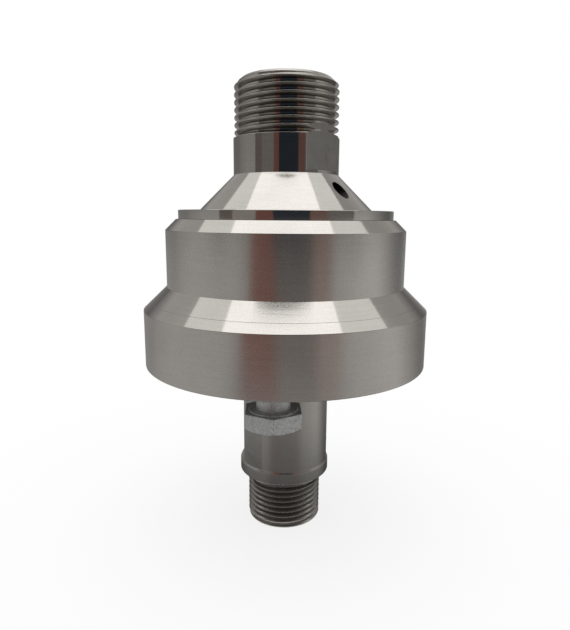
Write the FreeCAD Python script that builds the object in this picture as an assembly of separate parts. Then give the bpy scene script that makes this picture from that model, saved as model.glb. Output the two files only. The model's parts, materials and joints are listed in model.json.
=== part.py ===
"""Single-passage hydraulic rotary union, in millimetres, axis along +Z.

The hollow shaft points down and turns in two tapered roller bearings inside the housing.
The inlet head screws into the top of the housing and carries a spring-loaded face seal,
which passes the oil from the still neck to the turning shaft.
The origin is the centre of the shaft's lower end face. The front is -Y, and azimuths are
degrees from the front, growing towards +X.
"""
import FreeCAD, Part
import math
import os

V = FreeCAD.Vector
ORIGIN = V(0, 0, 0)
AXIS = V(0, 0, 1)

# Corner circle of a hexagon for its inner circle, and how far a cutter runs past the stock.
HEX_CORNER = 2 / math.sqrt(3)
CUTTER_OVERRUN = 1.0

# Passage through the whole union.
FLOW_R = 4.0

# Shaft below the housing: M20 x 1.5 male end with a 24 degree tube socket.
SHAFT_R = 12.0
SHAFT_REACH = 45.6
OUTLET_THREAD_R = 10.0
OUTLET_THREAD_LENGTH = 11.5
OUTLET_CHAMFER = 0.4
RELIEF_DEPTH = 1.0
RELIEF_WIDTH = 1.5
SHOULDER_CHAMFER = 1.1
LAND_R = 12.25
LAND_TOP = 16.8
LAND_FADE = 0.5
SEAT_CHAMFER = 0.5
TUBE_R = 6.0
TUBE_CLEARANCE = 0.05
SOCKET_DEPTH = 7.0
SOCKET_MOUTH_R = 7.15
SOCKET_HALF_ANGLE = 12.0
SHAFT_FLAT_AF = 19.0
SHAFT_FLAT_LOW = 17.4
SHAFT_FLAT_LENGTH = 20.9
SHAFT_FLAT_AZIMUTH = -67.0

# Housing.
FOOT_R = 37.0
FOOT_HEIGHT = 14.4
FOOT_BEVEL_HEIGHT = 5.8
BARREL_R = 31.0
BARREL_HEIGHT = 14.25
CROWN_BEVEL = 2.7
FOOT_EDGE = 0.35
BORE_LEAD_IN = 0.4
WEB_BORE_CLEARANCE = 2.0
SPIGOT_END_GAP = 0.5

# Lip seal of the shaft.
SEAL_OUTER_R = 17.5
SEAL_HEIGHT = 7.0
SEAL_INSET = 0.5
SEAL_CASE_WALL = 1.5
SEAL_WEB = 1.8
LIP_HEIGHT = 4.55
LIP_RUBBER = 1.2
LIP_CLEARANCE = 0.03
GARTER_WIRE_R = 0.6

# Hexagon screw in the underside, an M8 whose head stands off the housing.
SCREW_INWARD = 3.55
SCREW_AZIMUTH = -6.4
SCREW_THREAD_R = 4.0
SCREW_LENGTH = 14.0
SCREW_STANDOFF = 5.9
SCREW_HEAD_AF = 13.0
SCREW_HEAD_HEIGHT = 4.4
SCREW_HEAD_TURN = 2.0
SCREW_CHAMFER_ANGLE = 30.0
SCREW_WASHER_FACE_R = 5.8
SCREW_WASHER_FACE = 0.3
SCREW_HOLE_SPARE = 0.6
SCREW_HOLE_LEAD_IN = 0.4
SCREW_TIP = 0.8
SCREW_FLOOR = 1.7

# Tapered roller bearings, face to face, with a collar of the shaft between their cones.
COLLAR_R = 15.0
COLLAR_HEIGHT = 2.5
COLLAR_BEVEL = 1.5
ROLLER_TILT = 14.0
ROLLER_CLEARANCE = 0.05
RIB_GAP = 0.1
BEARING_CORNER = 0.8
SHIM_THICKNESS = 0.5
SHIM_WIDTH = 3.0
LOWER_BEARING = {
    "bore_r": 12.5, "outer_r": 23.5, "width": 15.0, "cup_width": 11.5,
    "half_angle": 2.0, "roller_length": 9.0, "count": 16, "rib": 1.3, "cage_wall": 0.8,
}
UPPER_BEARING = {
    "bore_r": 10.0, "outer_r": 18.5, "width": 12.0, "cup_width": 9.0,
    "half_angle": 2.2, "roller_length": 7.2, "count": 15, "rib": 1.0, "cage_wall": 0.7,
}

# Inlet head: spigot in the housing, disk, cone and neck with a G 3/4 thread.
SPIGOT_R = 26.0
SPIGOT_LENGTH = 9.9
SPIGOT_CHAMFER = 0.8
HEAD_GROOVE_DEPTH = 1.6
HEAD_GROOVE_WIDTH = 2.4
HEAD_GROOVE_BELOW_DISK = 1.2
DISK_R = 27.7
DISK_HEIGHT = 2.25
DISK_EDGE = 0.25
CONE_FOOT_R = 22.3
NECK_R = 13.5
INLET_THREAD_R = 13.22
NECK_PLAIN_HEIGHT = 8.98
INLET_THREAD_LENGTH = 14.25
INLET_CHAMFER = 0.7
NOSE_R = 11.1
NOSE_HEIGHT = 1.15
SEAT_MOUTH_R = 9.6
SEAT_HALF_ANGLE = 30.0
INLET_BORE_R = 6.0
NECK_FLAT_AF = 24.0
NECK_FLAT_ABOVE_CONE = 0.7
NECK_FLAT_LENGTH = 11.2
NECK_FLAT_AZIMUTH = 48.0
WEEP_R = 2.0
WEEP_BELOW_NECK = 4.0
WEEP_AZIMUTH = 48.0

# Face seal: a ring turning in the shaft's nose against a still one in a sprung carrier.
NOSE_ABOVE_CONE = 1.5
NOSE_CHAMFER = 0.4
RING_BORE_R = 4.6
RING_R = 8.2
RING_CLEARANCE = 0.05
TURNING_RING_DEPTH = 3.0
TURNING_RING_PROUD = 0.5
TURNING_RING_STEP = 1.8
STILL_RING_HEIGHT = 2.5
STILL_RING_IN_CARRIER = 1.7
SEAL_FILM = 0.02
CHAMBER_R = 11.5
CHAMBER_HEIGHT = 6.0
CARRIER_FLANGE_R = 10.4
CARRIER_FLANGE = 3.0
CARRIER_STEM_R = 7.5
CARRIER_STEM_LENGTH = 13.1
CARRIER_RUNNING = 0.05
CARRIER_HEADROOM = 1.1
STEM_GROOVE_DEPTH = 1.45
STEM_GROOVE_BELOW_TOP = 2.0
BACKUP_RING = 1.2
STEM_O_RING_SPARE = 0.3
SPRING_WIRE_WIDTH = 1.0
SPRING_WIRE_HEIGHT = 0.8
SPRING_TURNS = 4
SPRING_ON_STEM = 0.4
SPRING_HEIGHT = 6.7
SPRING_POCKET_SPARE = 0.4
KEY_PIN_R = 0.8
KEY_PIN_LENGTH = 3.2
KEY_PIN_PROUD = 1.9
KEYWAY_SIDE = 0.1
KEYWAY_END = 0.3

# Heights that follow from the sizes above, going up.
UNDERSIDE = SHAFT_REACH
FOOT_TOP = UNDERSIDE + FOOT_HEIGHT
BARREL_LOW = FOOT_TOP + FOOT_BEVEL_HEIGHT
BARREL_TOP = BARREL_LOW + BARREL_HEIGHT
HOUSING_TOP = BARREL_TOP + CROWN_BEVEL
SEAL_LOW = UNDERSIDE + SEAL_INSET
SEAL_TOP = SEAL_LOW + SEAL_HEIGHT
SCREW_TOP = UNDERSIDE + SCREW_LENGTH - SCREW_STANDOFF
SCREW_HOLE_TOP = SCREW_TOP + SCREW_HOLE_SPARE
LOWER_FLOOR = SCREW_HOLE_TOP + SCREW_FLOOR
COLLAR_LOW = LOWER_FLOOR + LOWER_BEARING["width"]
COLLAR_TOP = COLLAR_LOW + COLLAR_HEIGHT
UPPER_TOP = COLLAR_TOP + UPPER_BEARING["width"]
CUP_SHOULDER = UPPER_TOP + SHIM_THICKNESS
SPIGOT_LOW = HOUSING_TOP - SPIGOT_LENGTH
HEAD_GROOVE_TOP = HOUSING_TOP - HEAD_GROOVE_BELOW_DISK
DISK_TOP = HOUSING_TOP + DISK_HEIGHT
CONE_TOP = DISK_TOP + (CONE_FOOT_R - NECK_R)
THREAD_LOW = CONE_TOP + NECK_PLAIN_HEIGHT
NECK_TOP = THREAD_LOW + INLET_THREAD_LENGTH
SHAFT_TOP = UPPER_TOP + NOSE_ABOVE_CONE
TURNING_RING_LOW = SHAFT_TOP - TURNING_RING_DEPTH
SEAL_FACE = SHAFT_TOP + TURNING_RING_PROUD
STILL_RING_LOW = SEAL_FACE + SEAL_FILM
STILL_RING_TOP = STILL_RING_LOW + STILL_RING_HEIGHT
CARRIER_LOW = STILL_RING_TOP - STILL_RING_IN_CARRIER
FLANGE_TOP = CARRIER_LOW + CARRIER_FLANGE
STEM_TOP = FLANGE_TOP + CARRIER_STEM_LENGTH
CHAMBER_TOP = CUP_SHOULDER + CHAMBER_HEIGHT
SPRING_POCKET_TOP = FLANGE_TOP + SPRING_HEIGHT
STEM_BORE_TOP = STEM_TOP + CARRIER_HEADROOM
STEM_GROOVE_TOP = STEM_TOP - STEM_GROOVE_BELOW_TOP
KEY_PIN_HEIGHT = CARRIER_LOW + CARRIER_FLANGE / 2

# Radii that follow. The screw sits inward from the middle between the seal and the rim.
SCREW_RADIUS = (SEAL_OUTER_R + FOOT_R) / 2 - SCREW_INWARD
WEB_BORE_R = LOWER_BEARING["bore_r"] + WEB_BORE_CLEARANCE
STEM_BORE_R = CARRIER_STEM_R + CARRIER_RUNNING
STEM_FLOOR_R = CARRIER_STEM_R - STEM_GROOVE_DEPTH
STEM_O_RING_R = (STEM_BORE_R - LIP_CLEARANCE - STEM_FLOOR_R) / 2
SPRING_INNER_R = CARRIER_STEM_R + SPRING_ON_STEM
SPRING_POCKET_R = SPRING_INNER_R + SPRING_WIRE_WIDTH + SPRING_POCKET_SPARE
HEAD_FLOOR_R = SPIGOT_R - HEAD_GROOVE_DEPTH
NOSE_COUNTERBORE_R = RING_R + RING_CLEARANCE
KEYWAY_R = CARRIER_FLANGE_R + KEY_PIN_PROUD + KEYWAY_END


def revolve(points):
    """Solid of revolution about Z from a closed outline of (radius, height) points."""
    outline = [V(r, 0, z) for r, z in points]
    face = Part.Face(Part.makePolygon(outline + outline[:1]))
    return face.revolve(ORIGIN, AXIS, 360)


def ring(inner_r, outer_r, low, high):
    return revolve([(inner_r, low), (outer_r, low), (outer_r, high), (inner_r, high)])


def torus(mean_r, wire_r, height):
    return Part.makeTorus(mean_r, wire_r, V(0, 0, height), AXIS)


def turn(shape, azimuth):
    """Turn a shape made along +X so that it points to an azimuth."""
    turned = shape.copy()
    turned.rotate(ORIGIN, AXIS, azimuth - 90)
    return turned


def pattern(shape, count):
    """Copies of a shape evenly round the axis."""
    copies = []
    for index in range(count):
        one = shape.copy()
        one.rotate(ORIGIN, AXIS, 360 * index / count)
        copies.append(one)
    return copies


def cut_flats(shape, across_flats, low, high, azimuth, reach):
    """Mill a pair of wrench flats, centred on an azimuth and its opposite."""
    slab = Part.makeBox(reach, 2 * reach, high - low, V(across_flats / 2, -reach, low))
    return shape.cut(turn(slab, azimuth)).cut(turn(slab, azimuth + 180))


class TaperedBearing:
    """A single-row tapered roller bearing, its cup's back face at height 0, growing up.

    Every raceway and roller is a cone with its tip at one apex on the axis, below the
    bearing, so that the rollers roll without slip.
    """

    def __init__(self, bore_r, outer_r, width, cup_width, half_angle, roller_length,
                 count, rib, cage_wall):
        self.bore_r = bore_r
        self.outer_r = outer_r
        self.width = width
        self.cup_width = cup_width
        self.half = math.radians(half_angle)
        self.count = count
        self.rib = rib
        self.cage_wall = cage_wall
        self.tilt = math.radians(ROLLER_TILT)
        mean_r = (bore_r + outer_r) / 2
        self.apex = width / 2 - mean_r / math.tan(self.tilt)
        middle = mean_r / math.sin(self.tilt)
        self.near = middle - roller_length / 2
        self.far = middle + roller_length / 2

    def point(self, along, off):
        """Section point: a distance along the roller's axis and one square to it."""
        sine = math.sin(self.tilt)
        cosine = math.cos(self.tilt)
        return (along * sine + off * cosine, self.apex + along * cosine - off * sine)

    def roller_r(self, along):
        return along * math.tan(self.half)

    def cup(self):
        angle = self.tilt + self.half
        back = -self.apex * math.tan(angle)
        front = (self.cup_width - self.apex) * math.tan(angle)
        return revolve([
            (back, 0), (self.outer_r - BEARING_CORNER, 0), (self.outer_r, BEARING_CORNER),
            (self.outer_r, self.cup_width), (front, self.cup_width)])

    def cone(self):
        near = self.near - RIB_GAP
        far = self.far + RIB_GAP
        low = self.point(near, -self.roller_r(near))
        high = self.point(far, -self.roller_r(far))
        small_rib = self.point(near, -self.roller_r(near) + self.rib / 2)
        large_rib = self.point(far, -self.roller_r(far) + self.rib)
        front = max(self.point(near, 0)[1] - self.rib, 0)
        return revolve([
            (self.bore_r, front), (small_rib[0], front), small_rib, low, high, large_rib,
            (large_rib[0], self.width), (self.bore_r + BEARING_CORNER, self.width),
            (self.bore_r, self.width - BEARING_CORNER)])

    def rollers(self):
        start = self.point(self.near, 0)
        direction = V(math.sin(self.tilt), 0, math.cos(self.tilt))
        roller = Part.makeCone(
            self.roller_r(self.near) - ROLLER_CLEARANCE,
            self.roller_r(self.far) - ROLLER_CLEARANCE,
            self.far - self.near, V(start[0], 0, start[1]), direction)
        return Part.makeCompound(pattern(roller, self.count))

    def cage(self):
        """Pressed cage: a conical shell with a window for each roller."""
        outside = self.roller_r(self.near) - self.cage_wall / 2
        inside = outside - self.cage_wall
        small = self.near - 2 * self.cage_wall
        large = self.far + 1.5 * self.cage_wall
        flange = -self.roller_r(self.near) / 2
        shell = revolve([
            self.point(small, flange), self.point(small, outside),
            self.point(large, outside), self.point(large, inside),
            self.point(small + self.cage_wall, inside),
            self.point(small + self.cage_wall, flange)])
        chord = math.sqrt(self.roller_r(self.far) ** 2 - inside ** 2)
        half_width = chord + RIB_GAP
        window = Part.makeBox(
            self.far - self.near + 2 * RIB_GAP, 2 * half_width, 3 * self.cage_wall,
            V(self.near - RIB_GAP, -half_width, -outside - self.cage_wall))
        window.rotate(ORIGIN, V(0, 1, 0), ROLLER_TILT - 90)
        window.translate(V(0, 0, self.apex))
        return shell.cut(pattern(window, self.count))


def lower_place(shape):
    """Lower bearing: its cup stands on the housing's floor."""
    placed = shape.copy()
    placed.translate(V(0, 0, LOWER_FLOOR))
    return placed


def upper_place(shape):
    """Upper bearing: upside down, its cup under the shim in the head."""
    placed = shape.copy()
    placed.rotate(ORIGIN, V(1, 0, 0), 180)
    placed.translate(V(0, 0, UPPER_TOP))
    return placed


def screw_centre(height):
    angle = math.radians(SCREW_AZIMUTH)
    return V(SCREW_RADIUS * math.sin(angle), -SCREW_RADIUS * math.cos(angle), height)


def main_housing():
    spigot_bore_low = SPIGOT_LOW - SPIGOT_END_GAP
    bearing_r = LOWER_BEARING["outer_r"]
    body = revolve([
        (SEAL_OUTER_R + BORE_LEAD_IN, UNDERSIDE), (FOOT_R - FOOT_EDGE, UNDERSIDE),
        (FOOT_R, UNDERSIDE + FOOT_EDGE), (FOOT_R, FOOT_TOP),
        (BARREL_R, BARREL_LOW), (BARREL_R, BARREL_TOP),
        (BARREL_R - CROWN_BEVEL, HOUSING_TOP), (SPIGOT_R + BORE_LEAD_IN, HOUSING_TOP),
        (SPIGOT_R, HOUSING_TOP - BORE_LEAD_IN), (SPIGOT_R, spigot_bore_low),
        (bearing_r, spigot_bore_low), (bearing_r, LOWER_FLOOR), (WEB_BORE_R, LOWER_FLOOR),
        (WEB_BORE_R, SEAL_TOP), (SEAL_OUTER_R, SEAL_TOP),
        (SEAL_OUTER_R, UNDERSIDE + BORE_LEAD_IN)])
    hole = revolve([
        (0, UNDERSIDE), (SCREW_THREAD_R + SCREW_HOLE_LEAD_IN, UNDERSIDE),
        (SCREW_THREAD_R, UNDERSIDE + SCREW_HOLE_LEAD_IN), (SCREW_THREAD_R, SCREW_HOLE_TOP),
        (0, SCREW_HOLE_TOP)])
    hole.translate(screw_centre(0))
    return body.cut(hole)


def inlet_head():
    cup_seat_r = UPPER_BEARING["outer_r"]
    groove_low = HEAD_GROOVE_TOP - HEAD_GROOVE_WIDTH
    seat_depth = (SEAT_MOUTH_R - INLET_BORE_R) / math.tan(math.radians(SEAT_HALF_ANGLE))
    nose_low = NECK_TOP - NOSE_HEIGHT
    body = revolve([
        (cup_seat_r, SPIGOT_LOW), (SPIGOT_R - SPIGOT_CHAMFER, SPIGOT_LOW),
        (SPIGOT_R, SPIGOT_LOW + SPIGOT_CHAMFER), (SPIGOT_R, groove_low),
        (HEAD_FLOOR_R, groove_low), (HEAD_FLOOR_R, HEAD_GROOVE_TOP),
        (SPIGOT_R, HEAD_GROOVE_TOP), (SPIGOT_R, HOUSING_TOP), (DISK_R, HOUSING_TOP),
        (DISK_R, DISK_TOP - DISK_EDGE), (DISK_R - DISK_EDGE, DISK_TOP),
        (CONE_FOOT_R, DISK_TOP), (NECK_R, CONE_TOP),
        (NECK_R, THREAD_LOW), (INLET_THREAD_R, THREAD_LOW),
        (INLET_THREAD_R, nose_low - INLET_CHAMFER),
        (INLET_THREAD_R - INLET_CHAMFER, nose_low), (NOSE_R, NECK_TOP),
        (SEAT_MOUTH_R, NECK_TOP), (INLET_BORE_R, NECK_TOP - seat_depth),
        (INLET_BORE_R, STEM_BORE_TOP), (STEM_BORE_R, STEM_BORE_TOP),
        (STEM_BORE_R, SPRING_POCKET_TOP), (SPRING_POCKET_R, SPRING_POCKET_TOP),
        (SPRING_POCKET_R, CHAMBER_TOP), (CHAMBER_R, CHAMBER_TOP),
        (CHAMBER_R, CUP_SHOULDER), (cup_seat_r, CUP_SHOULDER)])
    flat_low = CONE_TOP + NECK_FLAT_ABOVE_CONE
    body = cut_flats(body, NECK_FLAT_AF, flat_low, flat_low + NECK_FLAT_LENGTH,
                     NECK_FLAT_AZIMUTH, NECK_R + CUTTER_OVERRUN)
    weep = Part.makeCylinder(WEEP_R, CONE_FOOT_R, V(0, 0, CONE_TOP - WEEP_BELOW_NECK),
                             V(1, 0, 0))
    half_width = KEY_PIN_R + KEYWAY_SIDE
    keyway = Part.makeBox(KEYWAY_R, 2 * half_width, CHAMBER_HEIGHT,
                          V(0, -half_width, CUP_SHOULDER))
    keyway = keyway.cut(Part.makeCylinder(CARRIER_FLANGE_R, CHAMBER_TOP, ORIGIN, AXIS))
    body = body.cut(turn(weep, WEEP_AZIMUTH))
    for side in (-90, 90):
        body = body.cut(turn(keyway, WEEP_AZIMUTH + side))
    return body


def head_o_ring():
    """O-ring squeezed between the spigot's groove and the housing."""
    wire_r = HEAD_GROOVE_DEPTH / 2
    return torus(HEAD_FLOOR_R + wire_r, wire_r, HEAD_GROOVE_TOP - HEAD_GROOVE_WIDTH / 2)


def cup_shim():
    """Shim that sets the preload of both bearings."""
    outer_r = UPPER_BEARING["outer_r"]
    return ring(outer_r - SHIM_WIDTH, outer_r, UPPER_TOP, CUP_SHOULDER)


def garter_place():
    """Radius and height of the garter spring's wire, in its groove behind the lip."""
    return SHAFT_R + LIP_RUBBER + GARTER_WIRE_R, SEAL_LOW + LIP_HEIGHT


def shaft_lip_seal():
    """Radial lip seal: stiffened case, web, sealing lip and an outer dust lip."""
    garter_r, garter_z = garter_place()
    wire = GARTER_WIRE_R
    groove_r = garter_r - wire
    case_r = SEAL_OUTER_R - SEAL_CASE_WALL
    lip_r = SHAFT_R + LIP_CLEARANCE
    waist_r = lip_r + 0.8 * LIP_RUBBER
    web_top = SEAL_LOW + SEAL_WEB
    return revolve([
        (lip_r + LIP_RUBBER, SEAL_LOW), (SEAL_OUTER_R, SEAL_LOW),
        (SEAL_OUTER_R, SEAL_TOP), (case_r, SEAL_TOP), (case_r, web_top),
        (garter_r + wire, web_top), (groove_r + wire / 2, garter_z - wire),
        (groove_r, garter_z - wire / 2), (groove_r, garter_z + wire / 2),
        (groove_r + wire / 2, garter_z + wire), (groove_r, garter_z + 2 * wire),
        (lip_r + LIP_RUBBER / 2, garter_z + 2 * wire), (lip_r, garter_z),
        (waist_r, garter_z - 3 * wire), (waist_r, web_top),
        (lip_r, SEAL_LOW + LIP_RUBBER / 2), (lip_r, SEAL_LOW + LIP_RUBBER / 4)])


def lip_garter_spring():
    garter_r, garter_z = garter_place()
    return torus(garter_r, GARTER_WIRE_R, garter_z)


def hexagon(across_flats, low, height):
    corner_r = HEX_CORNER * across_flats / 2
    corners = []
    for index in range(7):
        angle = math.radians(60 * index)
        corners.append(V(corner_r * math.cos(angle), corner_r * math.sin(angle), low))
    return Part.Face(Part.makePolygon(corners)).extrude(V(0, 0, height))


def torque_stop_screw():
    """Hexagon screw, head down, whose bare shank is the stop for a torque arm."""
    head_top = UNDERSIDE - SCREW_STANDOFF - SCREW_WASHER_FACE
    head_low = head_top - SCREW_HEAD_HEIGHT + SCREW_WASHER_FACE
    flat_r = SCREW_HEAD_AF / 2
    corner_r = HEX_CORNER * flat_r
    head = hexagon(SCREW_HEAD_AF, head_low, head_top - head_low)
    chamfer = (corner_r - flat_r) * math.tan(math.radians(SCREW_CHAMFER_ANGLE))
    crown = revolve([
        (0, head_low), (flat_r, head_low), (corner_r, head_low + chamfer),
        (corner_r, head_top), (0, head_top)])
    head = head.common(crown)
    head.rotate(ORIGIN, AXIS, 90 + SCREW_HEAD_TURN)
    washer_face = Part.makeCylinder(SCREW_WASHER_FACE_R, SCREW_WASHER_FACE,
                                    V(0, 0, head_top), AXIS)
    thread = revolve([
        (0, head_top), (SCREW_THREAD_R, head_top), (SCREW_THREAD_R, SCREW_TOP - SCREW_TIP),
        (SCREW_THREAD_R - SCREW_TIP, SCREW_TOP), (0, SCREW_TOP)])
    screw = head.fuse([washer_face, thread]).removeSplitter()
    screw.translate(screw_centre(0))
    return screw


def shaft():
    thread_top = OUTLET_THREAD_LENGTH
    relief_r = OUTLET_THREAD_R - RELIEF_DEPTH
    shoulder = thread_top + RELIEF_WIDTH
    socket_r = TUBE_R + TUBE_CLEARANCE
    socket_cone = (SOCKET_MOUTH_R - socket_r) / math.tan(math.radians(SOCKET_HALF_ANGLE))
    lower_seat_r = LOWER_BEARING["bore_r"]
    upper_seat_r = UPPER_BEARING["bore_r"]
    seat_low = LOWER_FLOOR - SEAT_CHAMFER
    body = revolve([
        (SOCKET_MOUTH_R, 0), (OUTLET_THREAD_R - OUTLET_CHAMFER, 0),
        (OUTLET_THREAD_R, OUTLET_CHAMFER), (OUTLET_THREAD_R, thread_top),
        (relief_r, thread_top), (relief_r, shoulder), (LAND_R - SHOULDER_CHAMFER, shoulder),
        (LAND_R, shoulder + SHOULDER_CHAMFER), (LAND_R, LAND_TOP),
        (SHAFT_R, LAND_TOP + LAND_FADE), (SHAFT_R, seat_low - (lower_seat_r - SHAFT_R)),
        (lower_seat_r, seat_low), (lower_seat_r, COLLAR_LOW), (COLLAR_R, COLLAR_LOW),
        (COLLAR_R, COLLAR_TOP - COLLAR_BEVEL), (COLLAR_R - COLLAR_BEVEL, COLLAR_TOP),
        (upper_seat_r, COLLAR_TOP), (upper_seat_r, SHAFT_TOP - NOSE_CHAMFER),
        (upper_seat_r - NOSE_CHAMFER, SHAFT_TOP), (NOSE_COUNTERBORE_R, SHAFT_TOP),
        (NOSE_COUNTERBORE_R, TURNING_RING_LOW), (FLOW_R, TURNING_RING_LOW),
        (FLOW_R, SOCKET_DEPTH), (socket_r, SOCKET_DEPTH), (socket_r, socket_cone)])
    return cut_flats(body, SHAFT_FLAT_AF, SHAFT_FLAT_LOW, SHAFT_FLAT_LOW + SHAFT_FLAT_LENGTH,
                     SHAFT_FLAT_AZIMUTH, SHAFT_R + CUTTER_OVERRUN)


def turning_seal_ring():
    """Carbide ring in the shaft's nose, stepped so that an O-ring sits below it."""
    neck_r = RING_R - TURNING_RING_STEP
    step = TURNING_RING_LOW + TURNING_RING_STEP
    return revolve([
        (RING_BORE_R, TURNING_RING_LOW), (neck_r, TURNING_RING_LOW), (neck_r, step),
        (RING_R, step), (RING_R, SEAL_FACE), (RING_BORE_R, SEAL_FACE)])


def turning_ring_o_ring():
    neck_r = RING_R - TURNING_RING_STEP
    wire_r = TURNING_RING_STEP / 2
    return torus((neck_r + NOSE_COUNTERBORE_R) / 2, wire_r, TURNING_RING_LOW + wire_r)


def still_seal_ring():
    return ring(RING_BORE_R, RING_R, STILL_RING_LOW, STILL_RING_TOP)


def key_pin():
    """Radial pin in the carrier's flange, along +X."""
    start = CARRIER_FLANGE_R + KEY_PIN_PROUD - KEY_PIN_LENGTH
    return Part.makeCylinder(KEY_PIN_R, KEY_PIN_LENGTH, V(start, 0, KEY_PIN_HEIGHT),
                             V(1, 0, 0))


def seal_carrier():
    """Carrier that floats in the neck and holds the still ring in its flange."""
    groove_low = STEM_GROOVE_TOP - 2 * STEM_O_RING_R - BACKUP_RING - STEM_O_RING_SPARE
    body = revolve([
        (RING_R, CARRIER_LOW), (CARRIER_FLANGE_R, CARRIER_LOW),
        (CARRIER_FLANGE_R, FLANGE_TOP), (CARRIER_STEM_R, FLANGE_TOP),
        (CARRIER_STEM_R, groove_low), (STEM_FLOOR_R, groove_low),
        (STEM_FLOOR_R, STEM_GROOVE_TOP), (CARRIER_STEM_R, STEM_GROOVE_TOP),
        (CARRIER_STEM_R, STEM_TOP), (FLOW_R, STEM_TOP), (FLOW_R, STILL_RING_TOP),
        (RING_R, STILL_RING_TOP)])
    for side in (-90, 90):
        body = body.cut(turn(key_pin(), WEEP_AZIMUTH + side))
    return body


def carrier_key_pins():
    """Two pins that ride in the head's keyways and keep the carrier from turning."""
    return Part.makeCompound([turn(key_pin(), WEEP_AZIMUTH + side) for side in (-90, 90)])


def carrier_o_ring():
    height = STEM_GROOVE_TOP - STEM_O_RING_SPARE / 2 - STEM_O_RING_R
    return torus(STEM_FLOOR_R + STEM_O_RING_R, STEM_O_RING_R, height)


def carrier_backup_ring():
    low = STEM_GROOVE_TOP - 2 * STEM_O_RING_R - BACKUP_RING - STEM_O_RING_SPARE
    return ring(STEM_FLOOR_R, CARRIER_STEM_R, low, low + BACKUP_RING)


def seal_spring():
    """Flat-wire compression spring with ground ends, between the carrier and the head."""
    outer_r = SPRING_INNER_R + SPRING_WIRE_WIDTH
    half = SPRING_WIRE_HEIGHT / 2
    corners = [(SPRING_INNER_R, -half), (outer_r, -half), (outer_r, half),
               (SPRING_INNER_R, half), (SPRING_INNER_R, -half)]
    section = Part.makePolygon([V(r, 0, z) for r, z in corners])
    path = Part.Wire(Part.makeHelix(SPRING_HEIGHT / SPRING_TURNS, SPRING_HEIGHT,
                                    SPRING_INNER_R + SPRING_WIRE_WIDTH / 2))
    coil = path.makePipeShell([section], True, True)
    coil.translate(V(0, 0, FLANGE_TOP))
    sleeve = ring(CARRIER_STEM_R, SPRING_POCKET_R, FLANGE_TOP, FLANGE_TOP + SPRING_HEIGHT)
    return coil.common(sleeve)


def build():
    lower = TaperedBearing(**LOWER_BEARING)
    upper = TaperedBearing(**UPPER_BEARING)
    return {
        "inlet_head": inlet_head(),
        "main_housing": main_housing(),
        "head_o_ring": head_o_ring(),
        "cup_shim": cup_shim(),
        "shaft_lip_seal": shaft_lip_seal(),
        "lip_garter_spring": lip_garter_spring(),
        "torque_stop_screw": torque_stop_screw(),
        "lower_bearing_cup": lower_place(lower.cup()),
        "lower_bearing_cone": lower_place(lower.cone()),
        "lower_rollers": lower_place(lower.rollers()),
        "lower_roller_cage": lower_place(lower.cage()),
        "upper_bearing_cup": upper_place(upper.cup()),
        "upper_bearing_cone": upper_place(upper.cone()),
        "upper_rollers": upper_place(upper.rollers()),
        "upper_roller_cage": upper_place(upper.cage()),
        "shaft": shaft(),
        "turning_seal_ring": turning_seal_ring(),
        "turning_ring_o_ring": turning_ring_o_ring(),
        "still_seal_ring": still_seal_ring(),
        "seal_carrier": seal_carrier(),
        "carrier_key_pins": carrier_key_pins(),
        "carrier_o_ring": carrier_o_ring(),
        "carrier_backup_ring": carrier_backup_ring(),
        "seal_spring": seal_spring(),
    }


os.makedirs("parts", exist_ok=True)
for node, shape in build().items():
    shape.exportStep(os.path.join("parts", node + ".step"))
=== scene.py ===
"""Looks of the hydraulic rotary union: turned steel pieces, threads, finishes, studio and camera.

Everything is in metres. The axis is +Z, the front is -Y, and azimuths are degrees from the
front, growing towards +X.
"""
import json
import math

import bpy
from mathutils import Matrix, Vector


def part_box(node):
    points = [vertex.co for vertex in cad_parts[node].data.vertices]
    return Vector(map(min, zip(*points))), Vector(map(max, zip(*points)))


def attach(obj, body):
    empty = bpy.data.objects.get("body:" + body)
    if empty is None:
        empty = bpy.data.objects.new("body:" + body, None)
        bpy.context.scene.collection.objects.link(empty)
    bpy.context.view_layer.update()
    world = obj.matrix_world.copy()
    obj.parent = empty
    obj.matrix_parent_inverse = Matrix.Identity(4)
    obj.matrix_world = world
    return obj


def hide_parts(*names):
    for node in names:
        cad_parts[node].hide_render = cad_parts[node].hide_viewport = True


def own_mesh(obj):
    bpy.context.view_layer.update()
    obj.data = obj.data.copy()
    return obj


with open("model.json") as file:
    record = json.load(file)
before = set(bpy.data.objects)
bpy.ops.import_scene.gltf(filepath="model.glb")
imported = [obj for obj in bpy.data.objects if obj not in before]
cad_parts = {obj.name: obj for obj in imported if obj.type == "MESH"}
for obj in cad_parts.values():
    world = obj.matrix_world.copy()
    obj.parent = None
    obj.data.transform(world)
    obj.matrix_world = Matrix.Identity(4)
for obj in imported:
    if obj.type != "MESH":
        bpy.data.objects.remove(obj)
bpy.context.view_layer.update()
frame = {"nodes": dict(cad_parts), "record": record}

MM = 0.001

# Round pieces: how they are stepped, welded, rounded and smoothed, and between which heights
# the normal of a bevel lies.
SEGMENTS = 256
WELD = 0.5e-6
EDGE = 0.12 * MM
ARC_STEPS = 3
LONGEST_CUT = 0.45
SMOOTH_ANGLE = math.radians(32)
BEVEL_SLOPE = (0.3, 0.95)

# How far a cutting or joined piece reaches past the faces that it meets.
SPARE = 2 * MM
OVERRUN = 1 * MM

# Steps round a drilled hole, a tapped hole and a round card.
DRILL_SEGMENTS = 48
TAP_SEGMENTS = 64
CARD_SEGMENTS = 128

# Section of a thread's ridge: how deep it is sunk and how much its crest is rounded as shares
# of its depth, the width of its foot as a share of the pitch, and of its crest as one of its foot.
RIDGE_SUNK = 0.25
CREST_ROUNDING = 0.09
RIDGE_WIDTH = 0.96
CREST_WIDTH = 0.20
TURN_STEPS = 128


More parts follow.
